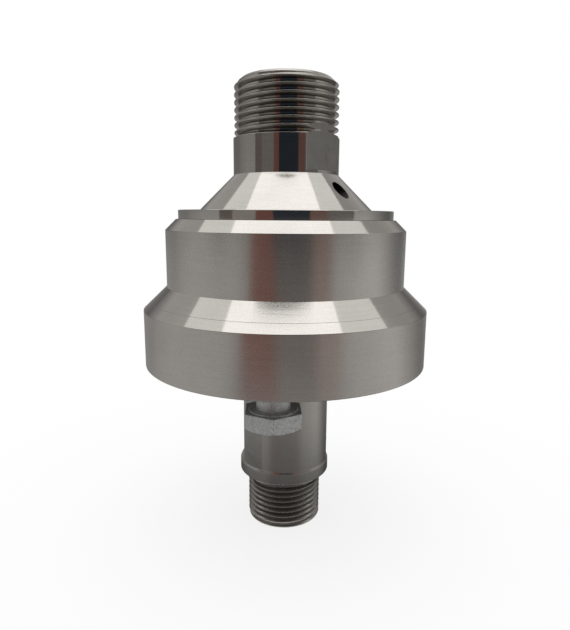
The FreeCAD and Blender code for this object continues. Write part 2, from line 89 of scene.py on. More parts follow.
def reach(node):
    """Largest radius about the axis, lowest and highest point of a round node."""
    low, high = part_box(node)
    return high[0], low[2], high[2]


# Sizes taken from the frame.
FOOT_R, UNDERSIDE, HOUSING_TOP = reach("main_housing")
DISK_R, SPIGOT_LOW, NECK_TOP = reach("inlet_head")
COLLAR_R, _, SHAFT_TOP = reach("shaft")
CUP_R, LOWER_FLOOR, _ = reach("lower_bearing_cup")
SEAL_R, _, SEAL_TOP = reach("shaft_lip_seal")
UPPER_CUP_R, _, _ = reach("upper_bearing_cup")
CUP_SHOULDER = reach("cup_shim")[2]
COLLAR_LOW = reach("lower_bearing_cone")[2]
COLLAR_TOP = reach("upper_bearing_cone")[1]
TURNING_RING_LOW = reach("turning_seal_ring")[1]
_, SPRING_LOW, SPRING_TOP = reach("seal_spring")
STEM_TOP = reach("seal_carrier")[2]

# Housing.
FOOT_TOP = 60.0 * MM
FOOT_LOW_EDGE = 0.35 * MM
FOOT_TOP_EDGE = 0.2 * MM
FOOT_BEVEL_HEIGHT = 5.8 * MM
BARREL_R = 31.0 * MM
BARREL_LOW_EDGE = 0.05 * MM
CROWN_BEVEL = 2.7 * MM
CROWN_EDGE = 0.15 * MM
SPIGOT_R = 26.0 * MM
SPIGOT_BORE_LOW = SPIGOT_LOW - 0.5 * MM
WEB_BORE_R = 14.5 * MM
BORE_LEAD_IN = 0.4 * MM

# Line turned into the foot's bevel: its height as a share of the bevel's, and its half width.
FEED_LINE_UP = 0.34
FEED_LINE = 0.03 * MM

# Inlet head.
SPIGOT_CHAMFER = 0.8 * MM
SPIGOT_CORNER = 0.02 * MM
DISK_TOP = HOUSING_TOP + 2.25 * MM
DISK_EDGE = 0.25 * MM
CONE_FOOT_R = 22.3 * MM
CONE_EDGE = 0.1 * MM
NECK_R = 13.5 * MM
CONE_TOP = DISK_TOP + CONE_FOOT_R - NECK_R
THREAD_LOW = CONE_TOP + 8.98 * MM
INLET_THREAD = {"crest_r": 13.22 * MM, "depth": 1.16 * MM, "pitch": 1.814 * MM, "phase": 0.77}
NOSE_HEIGHT = 1.63 * MM
NOSE_R = 11.35 * MM
SEAT_MOUTH_R = 9.6 * MM
SEAT_HALF_ANGLE = math.radians(30)
INLET_BORE_R = 6.0 * MM
SEAT_DEPTH = (SEAT_MOUTH_R - INLET_BORE_R) / math.tan(SEAT_HALF_ANGLE)
GROOVE_TOP = HOUSING_TOP - 1.2 * MM
GROOVE_LOW = GROOVE_TOP - 2.4 * MM
GROOVE_R = SPIGOT_R - 1.6 * MM
CHAMBER_R = 11.5 * MM
CHAMBER_TOP = CUP_SHOULDER + 6.0 * MM
SPRING_POCKET_R = 9.3 * MM
STEM_BORE_R = 7.55 * MM
STEM_BORE_TOP = STEM_TOP + 1.1 * MM
NECK_FLAT = {"across": 24.0 * MM, "low": CONE_TOP + 0.7 * MM, "length": 11.2 * MM, "azimuth": 48}
WEEP = {"r": 2.0 * MM, "z": CONE_TOP - 4.0 * MM, "azimuth": 48}

# The inlet thread's ridge ends NOSE_LIFT over the nose's cone, and flat within NOSE_INSET of it.
NOSE_LIFT = 0.02 * MM
NOSE_INSET = 0.15 * MM

# Shaft.
SHAFT_R = 12.0 * MM
FLOW_R = 4.0 * MM
OUTLET_THREAD = {"crest_r": 10.0 * MM, "depth": 0.92 * MM, "pitch": 1.5 * MM, "phase": 0.5}
OUTLET_THREAD_TOP = 11.5 * MM
OUTLET_CHAMFER = 0.4 * MM
OUTLET_LEAD = 0.3 * MM
THREAD_STEP = 0.1 * MM
RELIEF_R = 9.0 * MM
SHOULDER = 13.0 * MM
SHOULDER_EDGE = 0.3 * MM
SHOULDER_CHAMFER = 1.1 * MM
LAND_R = 12.25 * MM
LAND_LOW_EDGE = 0.4 * MM
LAND_TOP = 16.8 * MM
LAND_TOP_EDGE = 0.2 * MM
LAND_FADE = 0.5 * MM
SOCKET_R = 6.05 * MM
SOCKET_DEPTH = 7.0 * MM
SOCKET_MOUTH_R = 7.15 * MM
SOCKET_HALF_ANGLE = math.radians(12)
SOCKET_CONE = (SOCKET_MOUTH_R - SOCKET_R) / math.tan(SOCKET_HALF_ANGLE)
LOWER_SEAT_R = 12.5 * MM
UPPER_SEAT_R = 10.0 * MM
SEAT_CHAMFER = 0.5 * MM
COLLAR_BEVEL = 1.5 * MM
NOSE_POCKET_R = 8.25 * MM
NOSE_CHAMFER = 0.4 * MM
SHAFT_FLAT = {"across": 19.0 * MM, "low": 17.4 * MM, "length": 20.9 * MM, "azimuth": -67}

# Screw in the underside. Its outlines start at SCREW_CORE, which leaves a hole that thin.
SCREW_LOW, SCREW_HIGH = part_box("torque_stop_screw")
SCREW_R = 23.7 * MM
SCREW_AZIMUTH = -6.4
SCREW_SHANK_R = 4.0 * MM
SCREW_SHANK_EDGE = 0.2 * MM
SCREW_TIP = 0.8 * MM
SCREW_AF = 13.0 * MM
SCREW_TURN = 2.0
SCREW_HEAD_LOW = SCREW_LOW[2]
SCREW_HEAD_TOP = SCREW_HEAD_LOW + 4.1 * MM
SCREW_CROWN_ANGLE = math.radians(30)
SCREW_CROWN_EDGE = 0.3 * MM
SCREW_CORE = 0.4 * MM
WASHER_FACE_R = 5.8 * MM
WASHER_FACE = 0.3 * MM
SCREW_EDGE = 0.18 * MM
SCREW_EDGE_ANGLE = math.radians(50)
TAP_SPARE = 0.6 * MM
TAP_CLEARANCE = 0.02 * MM


def pick_only(piece):
    bpy.ops.object.select_all(action="DESELECT")
    piece.select_set(True)
    bpy.context.view_layer.objects.active = piece


def round_corners(corners):
    """Replace each (radius, height, rounding) corner of a closed outline by a small arc."""
    points = []
    for index, (r, z, rounding) in enumerate(corners):
        here = Vector((r, z))
        before = Vector(corners[index - 1][:2]) - here
        after = Vector(corners[(index + 1) % len(corners)][:2]) - here
        if not rounding:
            points.append(here)
            continue
        half = before.angle(after) / 2
        cut = min(rounding / math.tan(half), LONGEST_CUT * min(before.length, after.length))
        start = here + before.normalized() * cut
        end = here + after.normalized() * cut
        for step in range(ARC_STEPS + 1):
            t = step / ARC_STEPS
            points.append(start * (1 - t) ** 2 + here * 2 * t * (1 - t) + end * t ** 2)
    return points


def lathe(name, corners):
    """Turned solid: a ring of edges drawn through each point of a closed outline.

    A corner is (radius, height), broken by the usual edge, or (radius, height, rounding).
    """
    points = round_corners([corner if len(corner) == 3 else (*corner, EDGE) for corner in corners])
    radius, height = points[0]
    bpy.ops.object.select_all(action="DESELECT")
    bpy.ops.mesh.primitive_circle_add(vertices=SEGMENTS, radius=radius, location=(0, 0, height))
    piece = bpy.context.object
    piece.name = piece.data.name = name
    bpy.ops.object.transform_apply(location=True, rotation=True, scale=True)
    bpy.ops.object.mode_set(mode="EDIT")
    bpy.ops.mesh.select_all(action="SELECT")
    for next_radius, next_height in points[1:] + points[:1]:
        bpy.ops.mesh.extrude_region_move(
            TRANSFORM_OT_translate={"value": (0, 0, next_height - height)})
        share = next_radius / radius
        bpy.ops.transform.resize(value=(share, share, 1), center_override=(0, 0, 0))
        radius, height = next_radius, next_height
    bpy.ops.mesh.select_all(action="SELECT")
    bpy.ops.mesh.remove_doubles(threshold=WELD)
    bpy.ops.mesh.normals_make_consistent(inside=False)
    bpy.ops.object.mode_set(mode="OBJECT")
    return piece


def combine(piece, tool, operation):
    """Join (UNION), cut (DIFFERENCE) or keep the shared part (INTERSECT), then drop the tool.

    Faces cut by a tool without a finish take the piece's own.
    """
    if not tool.data.materials:
        tool.data.materials.append(piece.data.materials[0])
    pick_only(piece)
    bpy.ops.object.modifier_add(type="BOOLEAN")
    modifier = piece.modifiers[-1]
    modifier.operation = operation
    modifier.object = tool
    modifier.solver = "MANIFOLD"
    modifier.material_mode = "TRANSFER"
    bpy.ops.object.modifier_apply(modifier=modifier.name)
    bpy.data.objects.remove(tool)


def thread_ridge(name, finish, crest_r, depth, pitch, phase, low, high):
    """Helical ridge of a thread from low to high, its section swept by a screw.

    The phase is how far the first turn's middle starts below low, in turns.
    """
    start = low - phase * pitch
    root_r = crest_r - depth
    base = root_r - RIDGE_SUNK * depth
    turns = math.ceil((high - low) / pitch) + 1
    bpy.ops.object.select_all(action="DESELECT")
    bpy.ops.mesh.primitive_plane_add(size=1, rotation=(math.pi / 2, 0, 0))
    ridge = bpy.context.object
    ridge.name = ridge.data.name = name
    middle = (crest_r + base) / 2
    ridge.scale = (crest_r - base, RIDGE_WIDTH * pitch, 1)
    ridge.location = (middle, 0, start)
    bpy.ops.object.transform_apply(location=True, rotation=True, scale=True)
    bpy.ops.object.mode_set(mode="EDIT")
    bpy.ops.mesh.select_mode(type="VERT")
    bpy.ops.mesh.select_all(action="DESELECT")
    bpy.ops.object.mode_set(mode="OBJECT")
    for vertex in ridge.data.vertices:
        vertex.select = vertex.co.x > middle
    bpy.ops.object.mode_set(mode="EDIT")
    bpy.ops.transform.resize(value=(1, 1, CREST_WIDTH), center_override=(crest_r, 0, start))
    bpy.ops.mesh.bevel(offset=CREST_ROUNDING * depth, segments=2, affect="VERTICES")
    bpy.ops.mesh.select_all(action="SELECT")
    bpy.ops.mesh.delete(type="ONLY_FACE")
    bpy.ops.object.mode_set(mode="OBJECT")
    bpy.ops.object.modifier_add(type="SCREW")
    screw = ridge.modifiers[-1]
    screw.axis = "Z"
    screw.angle = 2 * math.pi
    screw.screw_offset = pitch
    screw.iterations = turns
    screw.steps = TURN_STEPS
    screw.render_steps = TURN_STEPS
    bpy.ops.object.modifier_apply(modifier=screw.name)
    bpy.ops.object.mode_set(mode="EDIT")
    bpy.ops.mesh.select_all(action="SELECT")
    bpy.ops.mesh.remove_doubles(threshold=WELD)
    bpy.ops.mesh.select_all(action="SELECT")
    bpy.ops.mesh.fill_holes(sides=0)
    bpy.ops.mesh.select_all(action="SELECT")
    bpy.ops.mesh.normals_make_consistent(inside=False)
    bpy.ops.object.mode_set(mode="OBJECT")
    ridge.data.materials.append(finish)
    return ridge


def cut_flats(piece, across, low, length, azimuth, reach_r, finish):
    """Mill a pair of wrench flats, centred on an azimuth and its opposite."""
    for side in (0, 180):
        bpy.ops.object.select_all(action="DESELECT")
        bpy.ops.mesh.primitive_cube_add(size=1)
        slab = bpy.context.object
        slab.dimensions = (2 * reach_r, reach_r, length)
        slab.location = (0, -(across + reach_r) / 2, low + length / 2)
        bpy.ops.object.transform_apply(location=True, rotation=True, scale=True)
        slab.rotation_euler = (0, 0, math.radians(azimuth + side))
        bpy.ops.object.transform_apply(location=True, rotation=True, scale=True)
        slab.data.materials.append(finish)
        combine(piece, slab, "DIFFERENCE")


def drill(piece, r, z, azimuth, start, end, finish):
    """Drill a radial hole from one distance off the axis to another."""
    bpy.ops.object.select_all(action="DESELECT")
    bpy.ops.mesh.primitive_cylinder_add(
        vertices=DRILL_SEGMENTS, radius=r, depth=end - start, rotation=(math.pi / 2, 0, 0),
        location=(0, -(start + end) / 2, z))
    drill_bit = bpy.context.object
    bpy.ops.object.transform_apply(location=True, rotation=True, scale=True)
    drill_bit.rotation_euler = (0, 0, math.radians(azimuth))
    bpy.ops.object.transform_apply(location=True, rotation=True, scale=True)
    drill_bit.data.materials.append(finish)
    combine(piece, drill_bit, "DIFFERENCE")


def finish_bevels(piece, finish):
    """Give the sloped faces that look up a finish of their own."""
    piece.data.materials.append(finish)
    lowest, highest = BEVEL_SLOPE
    for face in piece.data.polygons:
        if lowest < face.normal.z < highest:
            face.material_index = len(piece.data.materials) - 1


def smooth(piece):
    """Smooth the round faces, and keep the flat ones flat up to their edges."""
    pick_only(piece)
    bpy.ops.object.shade_smooth_by_angle(angle=SMOOTH_ANGLE)
    bpy.ops.object.modifier_add(type="WEIGHTED_NORMAL")
    modifier = piece.modifiers[-1]
    modifier.keep_sharp = True
    bpy.ops.object.modifier_apply(modifier=modifier.name)


def settle(piece, body, node):
    """Put a finished piece in the place of its node."""
    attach(piece, body)
    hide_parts(node)


class Value:
    """A number that changes over a surface, so that sums of it can be written as such."""

    def __init__(self, finish, socket):
        self.finish = finish
        self.socket = socket

    def sum(self, operation, first, second=None):
        return self.finish.value("ShaderNodeMath", {"operation": operation}, {0: first, 1: second})

    def __add__(self, other):
        return self.sum("ADD", self, other)

    def __radd__(self, other):
        return self.sum("ADD", other, self)

    def __sub__(self, other):
        return self.sum("SUBTRACT", self, other)

    def __rsub__(self, other):
        return self.sum("SUBTRACT", other, self)

    def __mul__(self, other):
        return self.sum("MULTIPLY", self, other)

    def __rmul__(self, other):
        return self.sum("MULTIPLY", other, self)

    def __truediv__(self, other):
        return self.sum("DIVIDE", self, other)

    def __rtruediv__(self, other):
        return self.sum("DIVIDE", other, self)

    def __pow__(self, other):
        return self.sum("POWER", self, other)


class Finish:
    """A material, with one method that adds any node to it."""

    def __init__(self, name):
        self.material = bpy.data.materials.new(name)
        self.material.use_nodes = True
        self.tree = self.material.node_tree
        self.shader = self.tree.nodes["Principled BSDF"]

    def node(self, kind, settings=None, inputs=None):
        node = self.tree.nodes.new(kind)
        for name, setting in (settings or {}).items():
            if name == "stops":
                self.set_stops(node.color_ramp, setting)
            else:
                setattr(node, name, setting)
        for name, value in (inputs or {}).items():
            self.feed(node.inputs[name], value)
        return node

    def set_stops(self, ramp, stops):
        while len(ramp.elements) < len(stops):
            ramp.elements.new(1)
        for element, (position, colour) in zip(ramp.elements, stops):
            element.position = position
            element.color = (*colour, 1)

    def feed(self, socket, value):
        if isinstance(value, Value):
            self.tree.links.new(value.socket, socket)
        elif value is not None:
            socket.default_value = value

    def value(self, kind, settings=None, inputs=None, output=0):
        return Value(self, self.node(kind, settings, inputs).outputs[output])

    def place(self):
        """Object coordinates, as a vector and as x, y and z."""
        place = self.value("ShaderNodeTexCoord", output="Object")
        parts = self.node("ShaderNodeSeparateXYZ", inputs={"Vector": place})
        return [place] + [Value(self, parts.outputs[axis]) for axis in "XYZ"]

    def noise(self, vector, scale, detail=2.0, w=None, roughness=0.5):
        settings = {"noise_dimensions": "3D" if w is None else "4D"}
        inputs = {"Vector": vector, "Scale": scale, "Detail": detail, "Roughness": roughness}
        if w is not None:
            inputs["W"] = w
        return self.value("ShaderNodeTexNoise", settings, inputs)

    def blend(self, share, dark, light):
        """Colour between two, by a share from 0 to 1."""
        colour = self.node("ShaderNodeMix", {"data_type": "RGBA"})
        self.feed(colour.inputs["Factor"], share)
        self.feed(colour.inputs[6], dark if isinstance(dark, Value) else (*dark, 1))
        self.feed(colour.inputs[7], light if isinstance(light, Value) else (*light, 1))
        return Value(self, colour.outputs[2])

    def set(self, **values):
        """Values on the shader's own sockets, with _ for a space in a socket's name."""
        for name, value in values.items():
            self.feed(self.shader.inputs[name.replace("_", " ")], value)

    def bump(self, height, depth, after=None):
        """Normal of a height from 0 to 1, whose full range is depth metres."""
        return self.value("ShaderNodeBump", inputs={
            "Strength": 1.0, "Distance": depth, "Height": height, "Normal": after},
            output="Normal")


# Patterns of the finishes: sizes of one mark or spot, marks round the axis, bump depths.
FEED_MARK = {"size": 0.16 * MM, "around": 5, "depth": 1.6e-6}
BAND = {"size": 0.9 * MM, "around": 2.5, "depth": 5e-6}
SPECKLE = {"size": 0.35 * MM, "depth": 1.5e-6}
TURNED_CLOUD_SIZE = 9 * MM
ALONG_THE_MERIDIAN = 0.25
CUTTER_MARK = {"width": 0.22 * MM, "length": 6 * MM, "depth": 5e-6}
MILLED_CLOUD = {"size": 3 * MM, "depth": 20e-6}
ZINC_BLOTCH = {"size": 0.7 * MM, "depth": 25e-6}
ZINC_SPANGLE = {"size": 0.22 * MM, "depth": 12e-6}
GROUND_LINE = {"size": 0.1 * MM, "around": 8, "depth": 1e-6}
GROUND_CLOUD_SIZE = 2.5 * MM
SOLID_CLOUD_SIZE = 1.5 * MM
SOLID_GRAIN_SIZE = 0.12 * MM


def turned_coordinates(finish, size, around):
    """Vector and W of a pattern that is long round the axis and short across it."""
    place, x, y, z = finish.place()
    radius = (x * x + y * y) ** 0.5
    along = 1 / size
    vector = finish.value("ShaderNodeCombineXYZ", inputs={
        0: x / radius * around, 1: y / radius * around, 2: z * along})
    return vector, radius * along


def between(colour, dark, light):
    """A darker and a lighter tone of a colour."""
    return [dark * c for c in colour], [min(light * c, 1) for c in colour]


def turned_steel(name, colour, roughness, marks, grain, spread=0.8):
    """Bright turned steel: fine feed marks round the axis, with a faint mottle.

    The spread is how much more the marks blur a reflection across them than along them.
    """
    finish = Finish(name)
    fine, fine_w = turned_coordinates(finish, FEED_MARK["size"], FEED_MARK["around"])
    broad, broad_w = turned_coordinates(finish, BAND["size"], BAND["around"])
    place = finish.place()[0]
    feed_marks = finish.noise(fine, 1.0, 1.0, fine_w)
    bands = finish.noise(broad, 1.0, 2.0, broad_w)
    speckle = finish.noise(place, 1 / SPECKLE["size"], 2.0)
    cloud = finish.noise(place, 1 / TURNED_CLOUD_SIZE, 3.0)
    tone = (feed_marks - 0.5) * 0.35 + (bands - 0.5) * 0.45 + (cloud - 0.5) * 0.6
    tone = tone + (speckle - 0.5) * grain + 0.5
    finish.set(Base_Color=finish.blend(tone, *between(colour, 0.86, 1.1)), Metallic=1.0,
               Roughness=(bands - 0.5) * 0.06 + (speckle - 0.5) * 0.05 + roughness,
               Anisotropic=spread, Anisotropic_Rotation=ALONG_THE_MERIDIAN)
    normal = finish.bump(feed_marks, FEED_MARK["depth"] * marks)
    normal = finish.bump(bands, BAND["depth"] * marks, normal)
    finish.set(Normal=finish.bump(speckle, SPECKLE["depth"] * grain, normal))
    return finish.material


def milled_steel(name, colour, roughness):
    """Wrench flats, with straight cutter marks that run up the flat."""
    finish = Finish(name)
    place, x, y, z = finish.place()
    width, length = CUTTER_MARK["width"], CUTTER_MARK["length"]
    across = finish.value("ShaderNodeCombineXYZ", inputs={
        0: x / width, 1: y / width, 2: z / length})
    marks = finish.noise(across, 1.0, 2.0)
    cloud = finish.noise(place, 1 / MILLED_CLOUD["size"], 3.0)
    tone = (marks - 0.5) * 0.9 + (cloud - 0.5) * 0.8 + 0.5
    finish.set(Base_Color=finish.blend(tone, *between(colour, 0.8, 1.1)), Metallic=1.0,
               Roughness=(cloud - 0.5) * 0.2 + roughness)
    normal = finish.bump(cloud, MILLED_CLOUD["depth"])
    finish.set(Normal=finish.bump(marks, CUTTER_MARK["depth"], normal))
    return finish.material


def zinc_plate(name):
    """Blotchy grey zinc plating of the screw."""
    finish = Finish(name)
    place = finish.place()[0]
    blotch = finish.noise(place, 1 / ZINC_BLOTCH["size"], 4.0, roughness=0.65)
    spangle = finish.noise(place, 1 / ZINC_SPANGLE["size"], 2.0)
    tone = (blotch - 0.5) * 1.6 + (spangle - 0.5) * 1.2 + 0.5
    finish.set(Base_Color=finish.blend(tone, (0.30, 0.31, 0.315), (0.66, 0.68, 0.69)),
               Metallic=0.85, Roughness=(spangle - 0.5) * 0.3 + 0.48)
    normal = finish.bump(blotch, ZINC_BLOTCH["depth"])
    finish.set(Normal=finish.bump(spangle, ZINC_SPANGLE["depth"], normal))
    return finish.material


def ground_steel(name, colour, roughness):
    """Ground faces of bearings, rings and pins."""
    finish = Finish(name)
    vector, w = turned_coordinates(finish, GROUND_LINE["size"], GROUND_LINE["around"])
    lines = finish.noise(vector, 1.0, 2.0, w)
    cloud = finish.noise(finish.place()[0], 1 / GROUND_CLOUD_SIZE, 2.0)
    tone = (lines - 0.5) * 0.7 + (cloud - 0.5) * 0.5 + 0.5
    finish.set(Base_Color=finish.blend(tone, *between(colour, 0.85, 1.08)), Metallic=1.0,
               Roughness=(cloud - 0.5) * 0.1 + roughness)
    finish.set(Normal=finish.bump(lines, GROUND_LINE["depth"]))
    return finish.material


def plain_solid(name, colour, roughness, mottle, grain):
    """Rubber, carbide and fluoroplastic: a mottled colour with a fine grain."""
    finish = Finish(name)
    place = finish.place()[0]
    cloud = finish.noise(place, 1 / SOLID_CLOUD_SIZE, 3.0)
    fine = finish.noise(place, 1 / SOLID_GRAIN_SIZE, 2.0)
    tone = (cloud - 0.5) * mottle + (fine - 0.5) * 0.5 + 0.5
    finish.set(Base_Color=finish.blend(tone, *between(colour, 0.8, 1.15)),
               Roughness=(cloud - 0.5) * 0.15 + roughness)
    finish.set(Normal=finish.bump(fine, grain))
    return finish.material


# Finishes: colour, roughness, strength of the marks and of the grain.
STEEL = (0.50, 0.485, 0.465)
SHAFT_TONE = (0.44, 0.432, 0.415)
TURNED = turned_steel("turned_stainless_finish", STEEL, 0.26, 2.0, 1.1, spread=0.5)
FINE_TURNED = turned_steel("fine_turned_stainless", STEEL, 0.09, 0.6, 0.9, spread=0.6)
# The inlet thread is a darker copy of the head's steel: painted shade of its grooves, over real
# turning marks.
HEAD_THREAD_PAINTED_SHADE = turned_steel("rolled_inlet_thread_painted_shade", (0.38, 0.365, 0.34), 0.16, 0.3, 0.2)
TURNED_SHAFT = turned_steel("shaft_steel_finish", SHAFT_TONE, 0.26, 0.8, 0.3)
# The outlet thread is a darker copy of the shaft's steel: painted shade of its grooves, over real
# turning marks.
SHAFT_THREAD_PAINTED_SHADE = turned_steel("rolled_outlet_thread_painted_shade", (0.34, 0.33, 0.31), 0.22, 0.4, 0.2)
# The neck's flats are a much darker copy of the head's steel: painted shade, over real cutter
# marks.
NECK_FLATS_PAINTED_SHADE = milled_steel("milled_stainless_painted_shade", (0.30, 0.293, 0.277), 0.30)
# The shaft's flats are a lighter copy of the shaft's steel: painted light, over real cutter marks.
SHAFT_FLATS_PAINTED_LIGHT = milled_steel("milled_shaft_steel_painted_light", (0.51, 0.505, 0.49), 0.34)
# Walls of the drilled and tapped holes: the steel made almost black, painted shade inside the
# holes, with ground lines.
HOLE_WALL_PAINTED_SHADE = ground_steel("drilled_hole_wall_painted_shade", (0.12, 0.118, 0.115), 0.5)
ZINC = zinc_plate("zinc_plate")
SLOT_FINISHES = {
    "turned_stainless": TURNED,
    "shaft_steel": TURNED_SHAFT,
    "zinc_plated_steel": ZINC,
    "bearing_steel": ground_steel("bearing_steel_finish", (0.58, 0.585, 0.59), 0.22),
    "cage_steel": ground_steel("cage_steel_finish", (0.45, 0.45, 0.44), 0.38),
    "spring_steel": ground_steel("spring_steel_finish", (0.36, 0.36, 0.37), 0.35),
    "seal_carbide": plain_solid("seal_carbide_finish", (0.16, 0.16, 0.17), 0.25, 0.3, 1e-6),
    "seal_rubber": plain_solid("seal_rubber_finish", (0.022, 0.022, 0.023), 0.55, 0.6, 8e-6),
    "white_fluoroplastic": plain_solid("fluoroplastic_finish", (0.80, 0.80, 0.77), 0.45, 0.3, 3e-6),
}


def make_housing():
    """Housing with its bores, the line in its foot's bevel and the screw's hole."""
    line_z = FOOT_TOP + FEED_LINE_UP * FOOT_BEVEL_HEIGHT
    line_r = FOOT_R - FEED_LINE_UP * (FOOT_R - BARREL_R)
    housing = lathe("turned_housing", [
        (SEAL_R + BORE_LEAD_IN, UNDERSIDE), (FOOT_R, UNDERSIDE, FOOT_LOW_EDGE),
        (FOOT_R, FOOT_TOP, FOOT_TOP_EDGE),
        (line_r + FEED_LINE, line_z - FEED_LINE, 0), (line_r - FEED_LINE, line_z - FEED_LINE, 0),
        (line_r - FEED_LINE, line_z + FEED_LINE, 0),
        (BARREL_R, FOOT_TOP + FOOT_BEVEL_HEIGHT, BARREL_LOW_EDGE),
        (BARREL_R, HOUSING_TOP - CROWN_BEVEL, CROWN_EDGE),
        (BARREL_R - CROWN_BEVEL, HOUSING_TOP), (SPIGOT_R + BORE_LEAD_IN, HOUSING_TOP),
        (SPIGOT_R, HOUSING_TOP - BORE_LEAD_IN), (SPIGOT_R, SPIGOT_BORE_LOW),
        (CUP_R, SPIGOT_BORE_LOW), (CUP_R, LOWER_FLOOR), (WEB_BORE_R, LOWER_FLOOR),
        (WEB_BORE_R, SEAL_TOP), (SEAL_R, SEAL_TOP), (SEAL_R, UNDERSIDE + BORE_LEAD_IN)])
    housing.data.materials.append(TURNED)
    finish_bevels(housing, FINE_TURNED)
    bpy.ops.object.select_all(action="DESELECT")
    centre = screw_centre()
    depth = SCREW_HIGH[2] + TAP_SPARE - UNDERSIDE
    bpy.ops.mesh.primitive_cylinder_add(
        vertices=TAP_SEGMENTS, radius=SCREW_SHANK_R + TAP_CLEARANCE, depth=2 * depth,
        location=(centre[0], centre[1], UNDERSIDE))
    tap = bpy.context.object
    bpy.ops.object.transform_apply(location=True, rotation=True, scale=True)
    # The tapped hole's wall takes the painted shade of the hole finish.
    tap.data.materials.append(HOLE_WALL_PAINTED_SHADE)
    combine(housing, tap, "DIFFERENCE")
    smooth(housing)
    settle(housing, "stator", "main_housing")


def make_head():
    """Inlet head with its bores, thread, flats and weep hole."""
    crest_r = INLET_THREAD["crest_r"]
    root_r = crest_r - INLET_THREAD["depth"]
    nose_slope = NOSE_HEIGHT / (crest_r - NOSE_R)
    head = lathe("turned_inlet_head", [
        (UPPER_CUP_R, SPIGOT_LOW), (SPIGOT_R, SPIGOT_LOW, SPIGOT_CHAMFER), (SPIGOT_R, GROOVE_LOW),
        (GROOVE_R, GROOVE_LOW), (GROOVE_R, GROOVE_TOP), (SPIGOT_R, GROOVE_TOP),
        (SPIGOT_R, HOUSING_TOP, SPIGOT_CORNER), (DISK_R, HOUSING_TOP),
        (DISK_R, DISK_TOP, DISK_EDGE), (CONE_FOOT_R, DISK_TOP, CONE_EDGE),
        (NECK_R, CONE_TOP, CONE_EDGE), (NECK_R, THREAD_LOW),
        (root_r, THREAD_LOW + (NECK_R - root_r) / 2, 0),
        (root_r, NECK_TOP - (root_r - NOSE_R) * nose_slope, 0), (NOSE_R, NECK_TOP),
        (SEAT_MOUTH_R, NECK_TOP), (INLET_BORE_R, NECK_TOP - SEAT_DEPTH),
        (INLET_BORE_R, STEM_BORE_TOP),
        (STEM_BORE_R, STEM_BORE_TOP), (STEM_BORE_R, SPRING_TOP), (SPRING_POCKET_R, SPRING_TOP),
        (SPRING_POCKET_R, CHAMBER_TOP), (CHAMBER_R, CHAMBER_TOP), (CHAMBER_R, CUP_SHOULDER),
        (UPPER_CUP_R, CUP_SHOULDER)])
    head.data.materials.append(FINE_TURNED)
    ridge = thread_ridge("inlet_thread_ridge", HEAD_THREAD_PAINTED_SHADE, low=THREAD_LOW, high=NECK_TOP,
                         **INLET_THREAD)
    ridge_top = NECK_TOP + NOSE_LIFT - NOSE_INSET * nose_slope
    ridge_edge = ridge_top - (crest_r + SPARE - NOSE_R - NOSE_INSET) * nose_slope
    envelope = lathe("inlet_thread_envelope", [
        (root_r - OVERRUN, THREAD_LOW, 0), (crest_r + SPARE, THREAD_LOW, 0),
        (crest_r + SPARE, ridge_edge, 0), (NOSE_R + NOSE_INSET, ridge_top, 0),
        (root_r - OVERRUN, ridge_top, 0)])
    combine(ridge, envelope, "INTERSECT")
    combine(head, ridge, "UNION")
    cut_flats(head, reach_r=NECK_R + OVERRUN, finish=NECK_FLATS_PAINTED_SHADE, **NECK_FLAT)
    # The weep hole's wall takes the painted shade of the hole finish.
    drill(head, start=SPRING_POCKET_R - OVERRUN, end=CONE_FOOT_R, finish=HOLE_WALL_PAINTED_SHADE, **WEEP)
    smooth(head)
    settle(head, "stator", "inlet_head")


